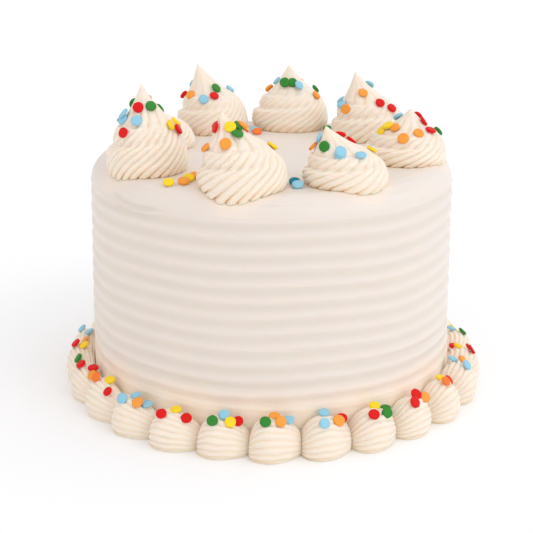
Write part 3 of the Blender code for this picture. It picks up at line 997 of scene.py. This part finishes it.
class CAKE_OT_rosettes(bpy.types.Operator):
    """Makes the piped rosettes on top."""

    bl_idname = "cake.rosettes"
    bl_label = "Rosettes"

    def execute(self, context):
        ridge = context.scene.cake_sizes.rosette_ridge
        look = context.scene.cake_look
        # The crease colour is painted warm shade; the notch colour is painted warm shade in the gaps
        # at the foot.
        finish = icing_finish("rosette_icing", look.piped, look.crease, look.notch_shade, ROSETTE_SURFACE)
        for i, rosette in enumerate(ROSETTES):
            rise = np.linspace(0.0, 1.0, ROSETTE_ROWS)[:, None]
            own = round_steps(rosette.ridges * ROSETTE_RIDGE_STEPS)
            turn = own + TWIST * (1.0 - (1.0 - rise) ** TWIST_EASE)
            foot = np.maximum(0.0, 1.0 - rise / FOOT_RISE) ** 2
            wandering = own + RIDGE_WANDER * ripple(ROSETTE_WANDER_SEED + i, own, rise)
            fine = ridge_wave(rosette.ridges, wandering, RIDGE_NARROW + FOOT_NARROW * foot)
            merged = np.clip((rise - MERGE_FROM) / MERGE_RISE, 0.0, 1.0)
            wave = fine + merged * (ridge_wave(rosette.ridges // 2, wandering) - fine)
            tooth = (1.0 + FOOT_DEEPER * foot) * (LOW_DEPTH + (HIGH_DEPTH - LOW_DEPTH) * merged)
            uneven = 1.0 + RIDGE_SPREAD * ripple(ROSETTE_DEPTH_SEED + i, own, 2.0 * rise)
            depth = ridge * rosette.crisp * tooth * uneven
            points = rosette_points(rosette, turn, rise, wave, depth)
            under = rosette_centre(rosette) + Vector((0, 0, CAKE_HEIGHT + UNDERSIDE))
            tip = points[-1].mean(axis=0)
            # Painted warm shade in the valleys, painted contact shadow at the foot, and painted warm
            # shade in the foot's notches.
            between = 0.5 - 0.5 * wave
            valley = between**VALLEY_POWER + FOOT_SHADOW * foot
            notch_shade = between * foot
            name = "rosette_icing_%d" % (i + 1)
            piece = skin(name, points[:-1], under, tip, valley[:-1], notch_shade[:-1])
            stand_for(piece, "rosette_%d" % (i + 1), finish)
        return {"FINISHED"}


class CAKE_OT_shells(bpy.types.Operator):
    """Makes the piped shells round the foot."""

    bl_idname = "cake.shells"
    bl_label = "Shell border"

    def execute(self, context):
        ridge = context.scene.cake_sizes.shell_ridge
        look = context.scene.cake_look
        # The crease colour is painted warm shade; the notch colour is painted warm shade in the gaps
        # at the foot.
        finish = icing_finish("shell_icing", look.piped, look.crease, look.notch_shade, SHELL_SURFACE)
        for i, (length, width, height) in enumerate(shell_sizes()):
            along = np.sin(np.linspace(-0.5 * math.pi, 0.5 * math.pi, SHELL_ROWS))[:, None]
            own = round_steps(SHELL_RIDGES * SHELL_RIDGE_STEPS)
            wandering = own + RIDGE_WANDER * ripple(SHELL_WANDER_SEED + i, own, along)
            wave = ridge_wave(SHELL_RIDGES, wandering)
            begun = np.exp(-(((along + 1.0) / TOOTH_REACH) ** 2))
            depth = ridge * (1.0 + TOOTH_DEPTH * begun)
            meeting = length * np.where(along < 0.0, SHELL_MEET_START, SHELL_MEET_TAIL)
            points = shell_points(i, (meeting, width, height), along, -own, wave, depth)
            # Painted contact shadow near the floor, painted warm shade in the valleys, and painted
            # warm shade in the notches where each shell was begun.
            low = np.clip(1.0 - points[:, :, 2] / NOTCH_TOP, 0.0, 1.0)
            between = 0.5 - 0.5 * wave
            valley = between**VALLEY_POWER + FOOT_SHADOW * low
            notch_shade = between * low * np.clip(-along, 0.0, 1.0)
            start, tail = points[0].mean(axis=0), points[-1].mean(axis=0)
            piece = skin("shell_icing_%02d" % (i + 1), points, start, tail, valley, notch_shade)
            stand_for(piece, "shell_%02d" % (i + 1), finish)
        return {"FINISHED"}


class CAKE_OT_sprinkles(bpy.types.Operator):
    """Strews the sprinkles, one piece for each colour."""

    bl_idname = "cake.sprinkles"
    bl_label = "Sprinkles"

    def execute(self, context):
        sizes = context.scene.cake_sizes
        look = context.scene.cake_look
        context.view_layer.update()
        seats = [("cake_icing", seat) for seat in top_seats()]
        for i, rosette in enumerate(ROSETTES):
            bed = "rosette_icing_%d" % (i + 1)
            seats += [(bed, seat) for seat in rosette_seats(rosette, sizes.rosette_ridge)]
        draw = random.Random(SHELL_SEED + 1)
        for i, shares in enumerate(shell_sizes()):
            bed = "shell_icing_%02d" % (i + 1)
            seats += [(bed, seat) for seat in shell_seats(i, shares, draw, sizes.shell_ridge)]
        heaps = {kind: ([], []) for kind in SPRINKLE_COLOURS}
        laid = []
        for number, (bed, (target, facing, kind)) in enumerate(seats):
            _, nearest, normal, _ = bpy.data.objects[bed].closest_point_on_mesh(target)
            tilt = normal.cross(facing).length
            place = nearest + facing * (0.5 * sizes.sprinkle_thickness - SPRINKLE_SUNK)
            place += normal * EDGE_LIFT * tilt * sizes.sprinkle_radius
            if bed == "cake_icing":
                place.z += TOP_LIFT
            if any((place - other).length < CROWDED for other in laid):
                place += facing * STACK_STEP
            laid.append(place)
            sprinkle_mesh(heaps[kind], kept_within(place, facing, sizes), facing, number)
        for kind, (points, faces) in heaps.items():
            name = SPRINKLE_COLOURS[kind]
            mesh = bpy.data.meshes.new("sprinkles_" + name)
            mesh.from_pydata(points, [], faces)
            mesh.shade_smooth()
            mesh.set_sharp_from_angle(angle=SPRINKLE_EDGE)
            piece = bpy.data.objects.new("sprinkles_" + name, mesh)
            context.scene.collection.objects.link(piece)
            mesh.materials.append(sprinkle_finish(name + "_sugar", getattr(look, name)))
            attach(piece, "root")
        return {"FINISHED"}


def studio_world(studio):
    """White light from all round, stronger from the key's side and from above."""
    world = bpy.data.worlds.new("studio")
    world.use_nodes = True
    tree = world.node_tree
    facing = node_of(tree, "ShaderNodeVectorMath", operation="DOT_PRODUCT")
    facing.inputs[1].default_value = key_direction()
    tree.links.new(node_of(tree, "ShaderNodeTexCoord").outputs["Generated"], facing.inputs[0])
    strength = node_of(tree, "ShaderNodeMapRange")
    strength.inputs["From Min"].default_value = -1.0
    strength.inputs["To Min"].default_value = studio.fill_far
    strength.inputs["To Max"].default_value = studio.fill_near
    tree.links.new(facing.outputs["Value"], strength.inputs["Value"])
    light = tree.nodes["Background"]
    tint = node_of(tree, "ShaderNodeMapRange")
    tint.inputs["From Min"].default_value = -1.0
    tree.links.new(facing.outputs["Value"], tint.inputs["Value"])
    colour = blend_colours(tree, tint.outputs["Result"], FAR_TINT, NEAR_TINT)
    tree.links.new(colour, light.inputs["Color"])
    tree.links.new(strength.outputs["Result"], light.inputs["Strength"])
    return world


def key_direction():
    """The unit vector from the cake to the key light."""
    return direction(KEY_BEARING) * math.cos(KEY_RISE) + Vector((0.0, 0.0, math.sin(KEY_RISE)))


class CAKE_OT_stage(bpy.types.Operator):
    """Sets the floor, the lights and the camera."""

    bl_idname = "cake.stage"
    bl_label = "Studio"

    def execute(self, context):
        studio = context.scene.cake_studio
        scene = context.scene
        mesh = bpy.data.meshes.new("floor")
        corners = ((-1, -1), (1, -1), (1, 1), (-1, 1))
        places = [(FLOOR_REACH * x, FLOOR_REACH * y, 0) for x, y in corners]
        mesh.from_pydata(places, [], [(0, 1, 2, 3)])
        floor = bpy.data.objects.new("floor", mesh)
        scene.collection.objects.link(floor)
        paint = bpy.data.materials.new("pale_floor")
        paint.use_nodes = True
        shader = paint.node_tree.nodes["Principled BSDF"]
        shader.inputs["Base Color"].default_value = (*studio.floor, 1.0)
        shader.inputs["Roughness"].default_value = FLOOR_ROUGHNESS
        mesh.materials.append(paint)
        scene.world = studio_world(studio)
        light = bpy.data.lights.new("key_light", "SUN")
        light.energy = studio.key_strength
        light.angle = studio.key_softness
        light.color = KEY_COLOUR
        lamp = bpy.data.objects.new("key_light", light)
        lamp.rotation_euler = (-key_direction()).to_track_quat("-Z", "Y").to_euler()
        scene.collection.objects.link(lamp)
        lens = bpy.data.cameras.new("camera")
        lens.sensor_width = CAMERA_SENSOR
        lens.lens = CAMERA_LENS
        camera = bpy.data.objects.new("camera", lens)
        camera.location = CAMERA_PLACE
        camera.rotation_euler = (math.radians(90.0 - CAMERA_TILT), 0.0, 0.0)
        scene.collection.objects.link(camera)
        scene.camera = camera
        scene.view_settings.view_transform = "Standard"
        return {"FINISHED"}


class CAKE_PT_panel(bpy.types.Panel):
    """Lists the cake's sizes, looks and steps."""

    bl_idname = "CAKE_PT_panel"
    bl_label = "Iced cake"
    bl_space_type = "VIEW_3D"
    bl_region_type = "UI"
    bl_category = "Cake"

    def draw(self, context):
        for group in (context.scene.cake_sizes, context.scene.cake_look, context.scene.cake_studio):
            box = self.layout.box()
            for name in group.__annotations__:
                box.prop(group, name)
        for step in STEPS:
            self.layout.operator(step.bl_idname)


GROUPS = (CakeSizes, IcingLook, StudioLook)
STEPS = (CAKE_OT_body, CAKE_OT_rosettes, CAKE_OT_shells, CAKE_OT_sprinkles, CAKE_OT_stage)


def register():
    """Adds the classes and the scene's settings."""
    for item in GROUPS + STEPS + (CAKE_PT_panel,):
        bpy.utils.register_class(item)
    bpy.types.Scene.cake_sizes = PointerProperty(type=CakeSizes)
    bpy.types.Scene.cake_look = PointerProperty(type=IcingLook)
    bpy.types.Scene.cake_studio = PointerProperty(type=StudioLook)


def unregister():
    """Takes them away again."""
    del bpy.types.Scene.cake_studio
    del bpy.types.Scene.cake_look
    del bpy.types.Scene.cake_sizes
    for item in reversed(GROUPS + STEPS + (CAKE_PT_panel,)):
        bpy.utils.unregister_class(item)


def main():
    """Makes every piece in order."""
    register()
    bpy.ops.cake.body()
    bpy.ops.cake.rosettes()
    bpy.ops.cake.shells()
    bpy.ops.cake.sprinkles()
    bpy.ops.cake.stage()


if __name__ == "__main__":
    main()
